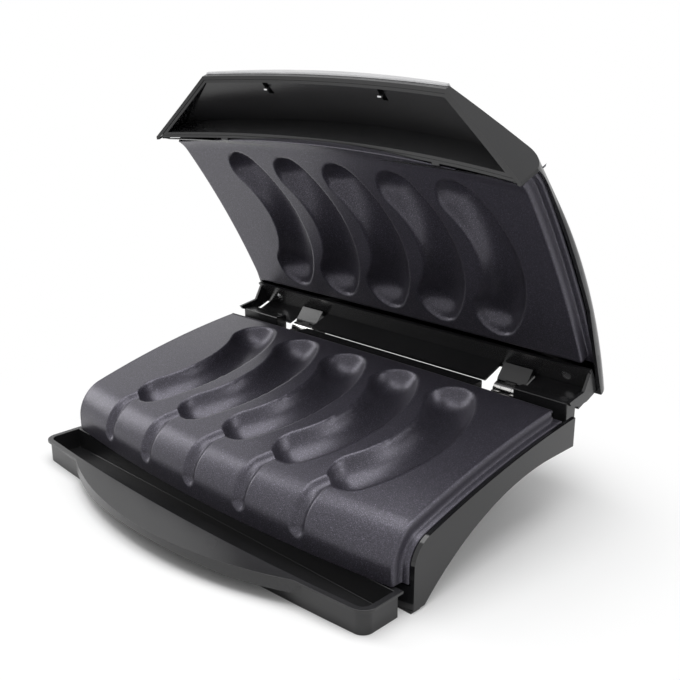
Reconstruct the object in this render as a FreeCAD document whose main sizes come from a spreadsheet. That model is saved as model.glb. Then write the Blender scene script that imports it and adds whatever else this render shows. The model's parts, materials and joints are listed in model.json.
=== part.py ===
"""Clamshell sausage grill: a base and a hinged lid with facing cast plates, and a drip tray.

Frame: millimetres, +Z up, +X to the right seen from the front, +Y to the rear, the table at
Z = 0.  Everything on the lid is drawn in its closed place and then swung open about the hinge
pins.  Run it as a FreeCAD macro; it writes one STEP file for each sub-part into parts/.
"""
import FreeCAD
import Part
import math
import os

import Sketcher
from FreeCAD import Placement, Rotation, Vector

PART_NAMES = []
BIG = 600.0          # larger than the whole grill: the reach of cutting blocks
X_AXIS, Y_AXIS, Z_AXIS = Vector(1, 0, 0), Vector(0, 1, 0), Vector(0, 0, 1)

# ------------------------------------------------------------------ driving dimensions
SIZES = [
    # the crowned grilling face, in the middle plane of the grill
    ("face_width", 300), ("face_rear", 72), ("crown_radius", 690), ("nose_front", 82.7),
    ("nose_radius", 24.5), ("nose_height", 25.9), ("nose_angle", 16.3), ("bow_radius", 1125),
    ("nose_foot", 16.8), ("plate_wall", 2.8), ("step_depth", 7.5), ("flange_wall", 2.2),
    ("flange_reach", 4.3), ("plate_gap", 1.2), ("lid_plate_wrap", 17), ("face_edge", 1.6),
    # sausage moulds and their drip channels
    ("mould_count", 5), ("mould_pitch", 47), ("mould_radius", 16.5), ("mould_lift", 3.5),
    ("mould_bend", 76), ("mould_apex", 14.3), ("mould_front", 42), ("mould_rear", 49),
    ("channel_radius", 5.2), ("channel_sink", 3.6), ("channel_shift", 9), ("channel_end", 29),
    # base housing
    ("body_width", 315), ("side_wall", 2.5), ("panel_drop", 8), ("panel_rear", 86.3),
    ("arch_radius", 169), ("arch_rear", 62), ("arch_top", 48), ("arch_drop", 8),
    ("tub_shoulder", 17.5), ("leg_front", 65.5),
    ("leg_toe", 11.5), ("leg_depth", 12), ("notch_height", 21.5), ("tub_wall", 2.2),
    ("pad_height", 1.5), ("soft_gap", 0.3),
    ("pedestal_width", 190), ("pedestal_front", 34), ("pedestal_rear", 84),
    ("pedestal_floor", 5), ("foot_radius", 7), ("gland_radius", 6.5), ("cord_radius", 3.4),
    # hinge
    ("hinge_back", 102.2), ("hinge_height", 64), ("open_angle", 69.3), ("hinge_spread", 98),
    ("pin_radius", 2.5), ("pin_length", 21), ("pin_fit", 0.05), ("knuckle_radius", 4.6),
    ("leaf_wall", 2), ("cover_width", 20.8), ("bridge_front", 78), ("bridge_floor", 50),
    ("bridge_depth", 18), ("bridge_top", 59), ("ridge_depth", 13.5),
    ("ridge_top", 71), ("ridge_half", 84), ("block_top", 74.5), ("block_inner", 112),
    ("block_outer", 151.5), ("block_front", 85.5),
    # lid housing
    ("lid_radius", 320), ("lid_axis_back", 70.2), ("lid_axis_drop", 227.4),
    ("dome_radius", 600), ("dome_rise", 20), ("dome_corner", 13), ("lid_wall", 2.4),
    ("lid_rear", 98), ("lid_rim", 11), ("rear_rim", 80), ("visor_front", 113),
    ("visor_kink", 73), ("visor_half", 104.5), ("visor_height", 67), ("visor_lip", 6.5),
    ("skirt_back", 71), ("skirt_height", 51), ("skirt_dome", 750), ("liner_wall", 1.8),
    ("panel_sheet", 1), ("panel_film", 0.15), ("cheek_wall", 2), ("vent_slots", 5), ("vent_pitch", 62),
    ("vent_slot_width", 56), ("vent_slot_height", 3), ("vent_wall", 1.6),
    # heaters
    ("rod_radius", 3.2), ("rod_reach", 107), ("rod_front", 24), ("rod_rear", 16),
    ("upper_rod_front", 12), ("upper_rod_rear", 32), ("clip_pitch", 141), ("clip_width", 10),
    ("sheet_wall", 0.8), ("clip_wall", 1), ("sheet_margin", 5), ("boss_radius", 4),
    ("screw_radius", 1.6), ("screw_head", 2.8), ("screw_head_depth", 1.4), ("screw_reach", 6),
    # places
    ("gland_side", 62), ("gland_height", 24), ("foot_plug", 2.6), ("foot_spread", 160),
    ("foot_back", 72), ("knuckle_half", 4), ("panel_rear_edge", 62), ("vent_depth", 3),
    ("vent_lap", 3.5), ("vent_height", 7), ("tab_side", 50), ("tab_shift", 3),
    ("lid_screw_side", 135), ("cover_skirt", 60), ("frame_shift", 9.55),
    ("lid_screw_back", 88),
    # drip tray
    ("tray_width", 311), ("tray_front", 106), ("tray_rear", 69.5), ("tray_bow", 1731),
    ("tray_height", 16), ("tray_floor", 0), ("tray_wall", 1.8), ("tray_corner", 9),
    ("tray_rim", 2), ("pull_reach", 126), ("pull_radius", 259), ("pull_skirt", 8),
    ("pull_arch", 3), ("runner_width", 26), ("runner_reach", 34), ("runner_pitch", 230),
]

doc = FreeCAD.newDocument("sausage_grill")
dims = doc.addObject("Spreadsheet::Sheet", "dims")
for row, (alias, value) in enumerate(SIZES, start=1):
    dims.set(f"A{row}", alias)
    dims.set(f"B{row}", str(value))
    dims.setAlias(f"B{row}", alias)
doc.recompute()


def num(formula):
    """The value of a formula in the sheet's own names, such as "face_width/2"."""
    return float(dims.evalExpression(formula))


def sheet_names(formula):
    """The same formula as other objects need it, with dims. before each of the sheet's names."""
    out, word = [], ""
    for letter in formula + " ":
        if letter.isalnum() or letter == "_":
            word += letter
            continue
        known = word and not word[0].isdigit() and word in ALIASES
        out.append(("dims." if known else "") + word + letter)
        word = ""
    return "".join(out).strip()


ALIASES = {alias for alias, _ in SIZES}


# ------------------------------------------------------------------ document helpers
def bind(obj, prop, formula):
    obj.setExpression(prop, sheet_names(formula))


def block(name, x0, x1, y0, y1, z0, z1):
    """A Part::Box between two corners, each given as a formula."""
    box = doc.addObject("Part::Box", name)
    for prop, low, high in (("Length", x0, x1), ("Width", y0, y1), ("Height", z0, z1)):
        bind(box, prop, f"({high}) - ({low})")
    for axis, low in (("x", x0), ("y", y0), ("z", z0)):
        bind(box, f"Placement.Base.{axis}", low)
    return box


def rod(name, radius, length, x, y, z, axis=Z_AXIS):
    """A Part::Cylinder that starts at a point and runs along an axis."""
    cyl = doc.addObject("Part::Cylinder", name)
    bind(cyl, "Radius", radius)
    bind(cyl, "Height", length)
    cyl.Placement = Placement(Vector(), Rotation(Z_AXIS, axis))
    for letter, place in (("x", x), ("y", y), ("z", z)):
        bind(cyl, f"Placement.Base.{letter}", place)
    return cyl


def cut(name, base, tool):
    result = doc.addObject("Part::Cut", name)
    result.Base, result.Tool = base, tool
    return result


def fuse(name, shapes):
    result = doc.addObject("Part::MultiFuse", name)
    result.Shapes = shapes
    return result


def group(name, shapes):
    """Separate solids that share one node."""
    result = doc.addObject("Part::Compound", name)
    result.Links = shapes
    return result


def fixed_shape(name, shape):
    """A Part::Feature for a shape that neither primitives nor PartDesign can make."""
    feature = doc.addObject("Part::Feature", name)
    feature.Shape = shape
    return feature


def arc_centre(start, end, radius):
    """Centre of the arc from start to end; a positive radius has it on the left."""
    chord = end - start
    middle = (start + end) * 0.5
    rise = math.sqrt(max(radius * radius - chord.Length ** 2 / 4, 0))
    left = Vector(-chord.y, chord.x, 0).normalize()
    return middle + left * math.copysign(rise, radius)


def outline_sketch(body, name, role, steps):
    """A closed sketch; each step is (x, y) or (x, y, radius of the arc to the next point)."""
    sketch = body.newObject("Sketcher::SketchObject", name)
    plane = next(f for f in body.Origin.OriginFeatures if f.Role == role)
    sketch.AttachmentSupport = [(plane, "")]
    sketch.MapMode = "FlatFace"
    points = [Vector(num(step[0]), num(step[1]), 0) for step in steps]
    starts = []
    for i, step in enumerate(steps):
        start, end = points[i], points[(i + 1) % len(points)]
        if len(step) == 2:
            sketch.addGeometry(Part.LineSegment(start, end))
            starts.append((1, 2))
            continue
        radius = num(step[2])
        centre = arc_centre(start, end, radius)
        first, last = (start, end) if radius > 0 else (end, start)
        a0 = math.atan2(first.y - centre.y, first.x - centre.x)
        a1 = math.atan2(last.y - centre.y, last.x - centre.x)
        circle = Part.Circle(centre, Z_AXIS, abs(radius))
        sketch.addGeometry(Part.ArcOfCircle(circle, a0, a1 if a1 > a0 else a1 + 2 * math.pi))
        starts.append((1, 2) if radius > 0 else (2, 1))
    count = len(steps)
    for i in range(count):
        following = (i + 1) % count
        link = Sketcher.Constraint("Coincident", i, starts[i][1], following, starts[following][0])
        sketch.addConstraint(link)
    for i, step in enumerate(steps):
        for kind, formula in (("DistanceX", step[0]), ("DistanceY", step[1])):
            at = sketch.addConstraint(
                Sketcher.Constraint(kind, -1, 1, i, starts[i][0], num(formula)))
            bind(sketch, f"Constraints[{at}]", formula)
        if len(step) == 3:
            at = sketch.addConstraint(Sketcher.Constraint("Radius", i, abs(num(step[2]))))
            bind(sketch, f"Constraints[{at}]", f"abs({step[2]})")
    return sketch


def pad(body, name, sketch, length, start="0"):
    """Pads a sketch; start moves the sketch along its own normal first."""
    bind(sketch, "AttachmentOffset.Base.z", start)
    feature = body.newObject("PartDesign::Pad", name)
    feature.Profile = sketch
    bind(feature, "Length", length)
    return feature


def pocket(body, name, sketch, length, start="0"):
    """Cuts from the sketch, which start moves along its normal, back against that normal."""
    bind(sketch, "AttachmentOffset.Base.z", start)
    feature = body.newObject("PartDesign::Pocket", name)
    feature.Profile = sketch
    bind(feature, "Length", length)
    return feature


def finish(obj, on_lid=False):
    """Names a sub-part, swings it open if it is on the lid, and lists it for export.

    Everything is drawn from the middle of the grilling face; frame_shift then puts the origin
    below the middle of the open grill.
    """
    obj.Label = obj.Name
    place = Placement(Vector(0, -num("frame_shift"), 0), Rotation())
    if on_lid:
        hinge = Vector(0, num("hinge_back"), num("hinge_height"))
        place = place.multiply(Placement(Vector(), Rotation(X_AXIS, -num("open_angle")), hinge))
    obj.Placement = place.multiply(obj.Placement)
    PART_NAMES.append(obj.Name)
    return obj


# ------------------------------------------------------------------ shapes of the crowned face
class Crown:
    """The face both plates share, and every surface at a height (lift) above or below it.

    Its middle section is a nose arc tangent to a large crown arc.  The section turns about an
    upright axis far behind the grill, which bows the nose forward in the middle.
    """

    def __init__(self):
        self.nose = Vector(0, num("nose_radius - nose_front"), num("nose_height"))
        self.tilt = math.radians(num("nose_angle"))
        self.normal = Vector(0, -math.sin(self.tilt), math.cos(self.tilt))
        self.nose_radius, self.crown_radius = num("nose_radius"), num("crown_radius")
        self.centre = self.nose + self.normal * (self.nose_radius - self.crown_radius)
        self.axis = Vector(0, num("bow_radius - nose_front"), 0)

    def bow(self, x):
        """How far the section stands back at x from the middle."""
        far = self.axis.y + num("nose_front")
        return far - math.sqrt(far * far - x * x)

    def height(self, y, lift=0.0, x=0.0):
        """Height of the crown arc above a point of the table."""
        back = y - self.bow(x) - self.centre.y
        return self.centre.z + math.sqrt((self.crown_radius + lift) ** 2 - back * back)

    def under(self, lift, floor=-20.0, rear=160.0):
        """The solid of all that lies below the surface at this lift, nose included."""
        small, large = self.nose_radius + lift, self.crown_radius + lift
        front = Vector(0, self.nose.y - small, self.nose.z)
        half = (math.pi + math.pi / 2 + self.tilt) / 2
        nose_mid = self.nose + Vector(0, math.cos(half), math.sin(half)) * small
        join = self.nose + self.normal * small
        end = Vector(0, rear, self.height(rear, lift))
        middle_y = (join.y + rear) / 2
        crown_mid = Vector(0, middle_y, self.height(middle_y, lift))
        low_front, low_rear = Vector(0, front.y, floor), Vector(0, rear, floor)
        edges = [Part.makeLine(low_front, front), Part.Arc(front, nose_mid, join).toShape(),
                 Part.Arc(join, crown_mid, end).toShape(), Part.makeLine(end, low_rear),
                 Part.makeLine(low_rear, low_front)]
        return self.turn(Part.Face(Part.Wire(edges)))

    def turn(self, face, reach=14.0):
        """Turns a section about the upright axis, this many degrees to each side."""
        face = face.copy()
        face.rotate(self.axis, Z_AXIS, -reach)
        return face.revolve(self.axis, Z_AXIS, 2 * reach)


def slab(half_width, y0, y1, z0=-50.0, z1=250.0):
    return Part.makeBox(2 * half_width, y1 - y0, z1 - z0, Vector(-half_width, y0, z0))


crown = Crown()
half_face = num("face_width/2")
flange_half = num("face_width/2 + flange_reach")
rear_edge = num("face_rear")


def mould_places():
    count = int(num("mould_count"))
    return [(i - (count - 1) / 2) * num("mould_pitch") for i in range(count)]


def mould_chord(x, lift):
    """Height over the middle, and slope, of the chord between a mould's two ends."""
    front, rear = -num("mould_front"), num("mould_rear")
    z_front, z_rear = crown.height(front, lift, x), crown.height(rear, lift, x)
    pitch = math.atan2(z_rear - z_front, rear - front)
    return z_front - front * math.tan(pitch), pitch


def mould(x, radius, lift):
    """A bent sausage: a ring segment with ball ends, laid along the crown at a height."""
    bend, apex = num("mould_bend"), num("mould_apex")
    front, rear = -num("mould_front"), num("mould_rear")
    middle, pitch = mould_chord(x, lift)
    along = Vector(0, math.cos(pitch), math.sin(pitch))
    normal = Vector(0, -math.sin(pitch), math.cos(pitch))
    centre = Vector(x + apex - bend, 0, middle)
    start, end = math.asin(front / bend), math.asin(rear / bend)

    def point(angle):
        return centre + X_AXIS * (bend * math.cos(angle)) + along * (bend * math.sin(angle))

    tangent = along * math.cos(start) - X_AXIS * math.sin(start)
    disc = Part.Face(Part.Wire(Part.makeCircle(radius, point(start), tangent)))
    ring = disc.revolve(centre, normal, math.degrees(end - start))
    balls = [Part.makeSphere(radius, point(angle)) for angle in (start, end)]
    return ring.fuse(balls)


def channel(x, radius, lift):
    """The drip channel from a mould's front end down over the nose."""
    x_mid = x - num("channel_shift")
    nose = crown.nose + Vector(x_mid, crown.bow(x_mid), 0)
    orbit = crown.nose_radius + lift
    start = math.pi / 2 + crown.tilt - math.radians(20)
    end = math.pi - math.asin((num("channel_end") - nose.z) / orbit)

    def point(angle):
        return nose + Vector(0, math.cos(angle), math.sin(angle)) * orbit

    tangent = Vector(0, -math.sin(start), math.cos(start))
    disc = Part.Face(Part.Wire(Part.makeCircle(radius, point(start), tangent)))
    groove = disc.revolve(nose, X_AXIS, math.degrees(end - start))
    return groove.fuse([Part.makeSphere(radius, point(end)), Part.makeSphere(radius, point(start))])


# ------------------------------------------------------------------ cast grill plates
class ElementPlane:
    """The tilted plane a heater lies in, behind the backs of the moulds."""

    def __init__(self, front, rear, side):
        self.side = side
        furthest = mould_places()[-1] if side < 0 else 0
        lift = num("mould_lift") if side < 0 else num("plate_gap - mould_lift")
        middle, pitch = mould_chord(furthest, lift)
        back = num("mould_radius + plate_wall + rod_radius + soft_gap")
        y = (rear - front) / 2
        self.angle = math.degrees(pitch)
        self.origin = Vector(0, y, middle + y * math.tan(pitch) + side * back / math.cos(pitch))

    def place(self, shape):
        """Moves a shape drawn flat about the origin onto the plane."""
        shape = shape.copy()
        shape.rotate(Vector(), X_AXIS, self.angle)
        shape.translate(self.origin)
        return shape


lower_plane = ElementPlane(num("rod_front"), num("rod_rear"), -1)
upper_plane = ElementPlane(num("upper_rod_front"), num("upper_rod_rear"), 1)


def clip_places():
    return [-num("clip_pitch/2"), num("clip_pitch/2")]


def plate_bosses(plane, radius, near, far):
    """Posts from a plate's back to the clips, in the plane's own heights near and far."""
    posts = []
    for x in clip_places():
        low, high = sorted((near, far))
        posts.append(plane.place(Part.makeCylinder(radius, high - low, Vector(x, 0, low))))
    return posts


def lower_grill_plate():
    wall, step = num("plate_wall"), num("step_depth")
    front = -num("nose_front") - 5
    solid_face = crown.under(0).common(slab(half_face, front, rear_edge))
    flange = crown.under(-step).common(slab(flange_half, front, rear_edge + num("flange_reach")))
    hollow = crown.under(-wall).common(slab(half_face - wall, front, rear_edge - wall))
    below_flange = crown.under(-step - num("flange_wall"))
    body = solid_face.fuse(flange).cut(hollow)
    body = body.cut(below_flange)
    thick, lift = num("mould_radius") + wall, num("mould_lift")
    backs = [mould(x, thick, lift) for x in mould_places()]
    backs += [channel(x, num("channel_radius") + wall, num("channel_radius - channel_sink"))
              for x in mould_places()]
    backing = backs[0].fuse(backs[1:]).common(crown.under(-wall / 2)).common(
        slab(half_face - 1, front, rear_edge - 1))
    rods = num("rod_radius")
    posts = plate_bosses(lower_plane, num("boss_radius"), -rods, 30.0)
    posts = [post.common(crown.under(-wall / 2)) for post in posts]
    body = body.fuse([backing] + posts)
    body = body.cut([mould(x, num("mould_radius"), lift) for x in mould_places()])
    body = body.cut([channel(x, num("channel_radius"), num("channel_radius - channel_sink"))
                     for x in mould_places()])
    body = body.cut(slab(BIG, -BIG, BIG, -BIG, num("nose_foot")))
    holes = [lower_plane.place(Part.makeCylinder(num("screw_radius"), 8, Vector(x, 0, -rods - 0.01)))
             for x in clip_places()]
    return body.cut(holes).removeSplitter()


def upper_grill_plate():
    """The same face turned over: it lies plate_gap above the lower one when the lid is shut."""
    gap, wall, step = num("plate_gap"), num("plate_wall"), num("step_depth")
    front = -num("nose_front - lid_plate_wrap")
    above = slab(half_face, front, rear_edge).cut(crown.under(gap))
    over = crown.under(gap + step + num("flange_wall"))
    solid_face = above.common(over)
    flange = over.common(slab(flange_half, front - 1.5, rear_edge + num("flange_reach")))
    flange = flange.cut(crown.under(gap + step))
    hollow = slab(half_face - wall, front + wall, rear_edge - wall).cut(crown.under(gap + wall))
    body = solid_face.fuse(flange).cut(hollow)
    lift = gap - num("mould_lift")
    thick = num("mould_radius") + wall
    backs = [mould(x, thick, lift) for x in mould_places()]
    backing = backs[0].fuse(backs[1:]).cut(crown.under(gap + wall / 2)).common(
        slab(half_face - 1, front + 1, rear_edge - 1))
    rods = num("rod_radius")
    posts = plate_bosses(upper_plane, num("boss_radius"), rods, -30.0)
    posts = [post.cut(crown.under(gap + wall / 2)) for post in posts]
    body = body.fuse([backing] + posts)
    body = body.cut([mould(x, num("mould_radius"), lift) for x in mould_places()])
    holes = [upper_plane.place(Part.makeCylinder(num("screw_radius"), 8,
                                                 Vector(x, 0, rods + 0.01 - 8)))
             for x in clip_places()]
    return body.cut(holes).removeSplitter()


finish(fixed_shape("lower_grill_plate", lower_grill_plate()))
finish(fixed_shape("upper_grill_plate", upper_grill_plate()), on_lid=True)


# ------------------------------------------------------------------ heaters
def heater(plane, front, rear):
    """A hairpin rod: two runs along the grill joined by a half ring at the right."""
    radius, reach = num("rod_radius"), num("rod_reach")
    half = (rear + front) / 2 / math.cos(math.radians(plane.angle))
    turn_x = reach - half
    runs = [Part.makeCylinder(radius, turn_x + reach, Vector(-reach, side * half, 0), X_AXIS)
            for side in (-1, 1)]
    disc = Part.Face(Part.Wire(Part.makeCircle(radius, Vector(turn_x, -half, 0), X_AXIS)))
    bend = disc.revolve(Vector(turn_x, 0, 0), Z_AXIS, 180)
    return plane.place(runs[0].fuse([runs[1], bend]).removeSplitter())


def flat_sheet(plane, half_x, half_y, near, far, holes):
    """A sheet parallel to a heater's plane, between two of its heights."""
    low, high = sorted((near, far))
    sheet = Part.makeBox(2 * half_x, 2 * half_y, high - low, Vector(-half_x, -half_y, low))
    for x in holes:
        hole = Part.makeCylinder(num("screw_radius"), high - low, Vector(x, 0, low))
        sheet = sheet.cut(hole)
    return plane.place(sheet)


def heater_set(plane, front, rear, level, on_lid):
    """The heater, its two clips, the reflector sheet behind it and the screws."""
    side, rods = plane.side, num("rod_radius")
    clip, sheet = num("clip_wall"), num("sheet_wall")
    half = (front + rear) / 2 + rods
    finish(fixed_shape(f"{level}_heating_element", heater(plane, front, rear)), on_lid)
    clips = []
    for x in clip_places():
        bar = flat_sheet(plane, num("clip_width/2"), half + 1.5, side * rods,
                         side * (rods + clip), [0])
        bar.translate(X_AXIS * x)
        clips.append(bar)
    finish(fixed_shape(f"{level}_element_clips", Part.makeCompound(clips)), on_lid)
    reflector = flat_sheet(plane, num("rod_reach") + 3, half + num("sheet_margin"),
                           side * (rods + clip), side * (rods + clip + sheet), clip_places())
    finish(fixed_shape(f"{level}_heat_reflector", reflector), on_lid)
    screws = []
    face = rods + clip + sheet
    for x in clip_places():
        head = Part.makeCylinder(num("screw_head"), num("screw_head_depth"),
                                 Vector(x, 0, side * face), Z_AXIS * side)
        shank = Part.makeCylinder(num("screw_radius"), face - rods + num("screw_reach"),
                                  Vector(x, 0, side * face), Z_AXIS * -side)
        screws.append(plane.place(head.fuse(shank).removeSplitter()))
    finish(fixed_shape(f"{level}_element_screws", Part.makeCompound(screws)), on_lid)


heater_set(lower_plane, num("rod_front"), num("rod_rear"), "lower", False)
heater_set(upper_plane, num("upper_rod_front"), num("upper_rod_rear"), "upper", True)


# ------------------------------------------------------------------ base housing
def base_section(half_width, top_lift, inset, floor, rear, drop=0.0):
    """The base seen from the side, across a width: arched below, crowned above, toes in front."""
    wall = slab(half_width, -num("nose_front") - 5, rear, floor, 120)
    wall = wall.common(crown.under(top_lift))
    arch_z, toe_z = num("arch_top") - drop, num("notch_height")
    arch = Part.makeCylinder(num("arch_radius") + inset, BIG,
                             Vector(-BIG / 2, num("arch_rear"), arch_z - num("arch_radius")),
                             X_AXIS)
    behind = slab(BIG, num("arch_rear"), BIG, -BIG, arch_z + inset)
    notch = slab(BIG, -BIG, inset - num("leg_front"), -BIG, toe_z + inset)
    return wall.cut([arch, behind, notch])


def side_panel(side):
    """A gloss side wall with its front leg, which turns inwards under the plate's foot."""
    half, wall = num("body_width/2"), num("side_wall")
    section = base_section(half, -num("panel_drop"), 0, num("pad_height"), num("panel_rear"))
    outer = Part.makeBox(wall, BIG, BIG, Vector(half - wall, -BIG / 2, 0))
    leg = Part.makeBox(num("leg_depth"), BIG / 2, num("nose_foot") - 1.3,
                       Vector(half - num("leg_depth"), -BIG / 2, 0))
    panel = section.common(outer.fuse(leg)).removeSplitter()
    return panel if side > 0 else panel.mirror(Vector(), X_AXIS)


def tub_hollow(half_width, top_lift, wall, floor, rear, drop):
    """The room inside the tub: roofed over the nose, open to the plate behind it."""
    roofed = base_section(half_width, top_lift - wall, wall, floor, rear, drop)
    open_part = base_section(half_width, top_lift + 30, wall, floor, rear, drop)
    return [roofed, open_part.common(slab(BIG, -num("nose_front - tub_wall*10"), BIG))]


def base_tub():
    """The hollow housing below the plate, with the rear pedestal that carries the cord inlet."""
    wall, fit, drop = num("tub_wall"), num("soft_gap"), num("arch_drop")
    half = num("body_width/2 - side_wall") - fit
    low_half = half - num("tub_shoulder")
    top = -num("step_depth + flange_wall") - fit
    rear, floor = num("bridge_front"), num("pad_height")
    tub = base_section(half, top, 0, floor, rear)
    tub = tub.fuse(base_section(low_half, top, 0, floor, rear, drop))
    leg_line = num("body_width/2 - leg_depth") - fit
    leg_room = Part.makeBox(BIG, BIG / 2, num("nose_foot"), Vector(leg_line, -BIG / 2, 0))
    tub = tub.cut([leg_room, leg_room.mirror(Vector(), X_AXIS)])
    hollows = tub_hollow(half - wall, top, wall, num("nose_foot") + wall, rear - wall, 0)
    hollows += tub_hollow(low_half - wall, top, wall, floor - 1, rear - wall, drop)
    stand_half, stand_rear = num("pedestal_width/2"), num("pedestal_rear")
    stand_front, stand_floor = num("pedestal_front"), num("pedestal_floor")
    stand_top = num("bridge_floor") - fit
    stand = slab(stand_half, stand_front, stand_rear, stand_floor, stand_top)
    room_half, room_front, room_floor = stand_half - wall, stand_front + wall, stand_floor + wall
    rooms = [slab(room_half, room_front, rear - wall, room_floor, 90),
             slab(room_half, room_front, stand_rear - wall, room_floor, stand_top - wall)]
    tub = tub.fuse(stand).cut(hollows + rooms)
    gland = Part.makeCylinder(num("gland_radius") + 0.1, 20,
                              Vector(num("gland_side"), stand_rear - 10, num("gland_height")), Y_AXIS)
    runner_half, rise = num("runner_width/2") + fit, num("tray_floor + tray_wall") + fit
    notches = [slab(runner_half, -BIG, 0, -1, rise + 0.5).translated(X_AXIS * x)
               for x in (-num("runner_pitch/2"), num("runner_pitch/2"))]
    sockets = [Part.makeCylinder(num("foot_plug"), 20, Vector(x, num("foot_back"), 0))
               for x in foot_places()]
    return tub.cut([gland] + notches + sockets).removeSplitter()


def foot_places():
    return [-num("foot_spread/2"), num("foot_spread/2")]


finish(fixed_shape("left_side_panel", side_panel(-1)))
finish(fixed_shape("right_side_panel", side_panel(1)))
finish(fixed_shape("base_tub", base_tub()))


def rear_bridge():
    """The beam behind the plate: a ridge in the middle, and a raised block at each end."""
    body = doc.addObject("PartDesign::Body", "rear_bridge")
    back = "bridge_front + bridge_depth"
    beam = outline_sketch(body, "beam_outline", "YZ_Plane", [
        ("bridge_front", "bridge_floor"), (back, "bridge_floor"),
        (back, "bridge_top"), ("bridge_front", "bridge_top")])
    pad(body, "beam", beam, "block_outer*2", "-block_outer")
    ridge = outline_sketch(body, "ridge_outline", "YZ_Plane", [
        ("bridge_front", "bridge_floor"), ("bridge_front + ridge_depth", "bridge_floor"),
        ("bridge_front + ridge_depth", "ridge_top"), ("bridge_front", "ridge_top")])
    pad(body, "ridge", ridge, "ridge_half*2", "-ridge_half")
    for side, start in (("right", "block_inner"), ("left", "-block_outer")):
        end = outline_sketch(body, f"{side}_block_outline", "YZ_Plane", [
            ("block_front", "bridge_floor"), (back, "bridge_floor"),
            (back, "block_top"), ("block_front", "block_top")])
        pad(body, f"{side}_block", end, "block_outer - block_inner", start)
    return body


finish(rear_bridge())

front_feet = []
for side, x0, x1 in (("left", "-body_width/2 + 1", "-body_width/2 + leg_depth - 1"),
                     ("right", "body_width/2 - leg_depth + 1", "body_width/2 - 1")):
    front_feet.append(block(f"{side}_front_pad", x0, x1, "-leg_front + 1", "-leg_front + leg_toe - 3",
                            "0", "pad_height"))
finish(group("front_foot_pads", front_feet))

rear_feet = []
for side, x in (("left", "-foot_spread/2"), ("right", "foot_spread/2")):
    sole = rod(f"{side}_rear_sole", "foot_radius", "pedestal_floor", x, "foot_back", "0")
    plug = rod(f"{side}_rear_plug", "foot_plug", "tub_wall + 1.5", x, "foot_back", "pedestal_floor")
    rear_feet.append(fuse(f"{side}_rear_foot", [sole, plug]))
finish(group("rear_feet", rear_feet))

gland_flange = rod("gland_flange", "gland_radius + 2", "2", "gland_side", "pedestal_rear",
                   "gland_height", Y_AXIS)
gland_body = rod("gland_body", "gland_radius", "tub_wall + 6", "gland_side",
                 "pedestal_rear - tub_wall - 4", "gland_height", Y_AXIS)
gland_nose = rod("gland_nose", "gland_radius - 1.5", "7", "gland_side", "pedestal_rear + 2",
                 "gland_height", Y_AXIS)
gland_bore = rod("gland_bore", "cord_radius", "30", "gland_side", "pedestal_rear - 15",
                 "gland_height", Y_AXIS)
finish(cut("cord_gland", fuse("gland_blank", [gland_flange, gland_body, gland_nose]), gland_bore))

stand_bed = "pedestal_floor + tub_wall"
terminal_body = block("terminal_body", "-16", "16", "52", "64", stand_bed, f"{stand_bed} + 11")
terminal_slot = block("terminal_slot", "-14", "14", "57", "59", f"{stand_bed} + 8",
                      f"{stand_bed} + 12")
finish(cut("terminal_block", terminal_body, terminal_slot))
seat_block = block("thermostat_seat_block", "-61", "-43", "50", "68", stand_bed, f"{stand_bed} + 4")
finish(group("thermostat_seat", [seat_block]))
can = rod("thermostat_can", "7.5", "6", "-52", "59", f"{stand_bed} + 4")
cap = rod("thermostat_cap", "5", "5", "-52", "59", f"{stand_bed} + 9")
finish(fuse("thermostat", [can, cap]))
fuse_tube = rod("fuse_tube", "2", "12", "22", "58", f"{stand_bed} + 6", X_AXIS)
fuse_leads = rod("fuse_leads", "0.6", "22", "17", "58", f"{stand_bed} + 6", X_AXIS)
finish(fuse("thermal_fuse", [fuse_tube, fuse_leads]))
finish(cut("fuse_holder", block("fuse_holder_blank", "24", "32", "54", "62", stand_bed,
                                f"{stand_bed} + 7"),
           rod("fuse_holder_seat", "2", "8", "24", "58", f"{stand_bed} + 6", X_AXIS)))


# ------------------------------------------------------------------ hinges
def hinge_tube(radius, x0, x1):
    return Part.makeCylinder(radius, x1 - x0, Vector(x0, num("hinge_back"), num("hinge_height")),
                             X_AXIS)


def yz_plate(points, x0, x1):
    """A prism across the grill from a list of (y, z) corners."""
    corners = [Vector(x0, y, z) for y, z in points]
    face = Part.Face(Part.makePolygon(corners + corners[:1]))
    return face.extrude(X_AXIS * (x1 - x0))


def base_leaf(x):
    """Steel leaf on the bridge's rear face, with two knuckles round the pin."""
    half, wall = num("pin_length/2") - 0.4, num("leaf_wall")
    back = num("bridge_front + bridge_depth")
    low, high = num("bridge_floor") + 1, num("hinge_height")
    leaf = Part.makeBox(2 * half, wall, high - low, Vector(x - half, back, low))
    arm = num("hinge_back") - back
    for x0, x1 in ((x - half, x - num("knuckle_half") - 0.3), (x + num("knuckle_half") + 0.3, x + half)):
        leaf = leaf.fuse([hinge_tube(num("knuckle_radius"), x0, x1),
                          Part.makeBox(x1 - x0, arm, wall, Vector(x0, back, high - wall))])
    gap = Part.makeBox(2 * num("knuckle_half") + 0.6, BIG, num("knuckle_radius") * 2 + 2,
                       Vector(x - num("knuckle_half") - 0.3, back - 1, high - num("knuckle_radius") - 1))
    return leaf.cut(gap).cut(hinge_tube(num("pin_radius"), x - 20, x + 20)).removeSplitter()


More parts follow.
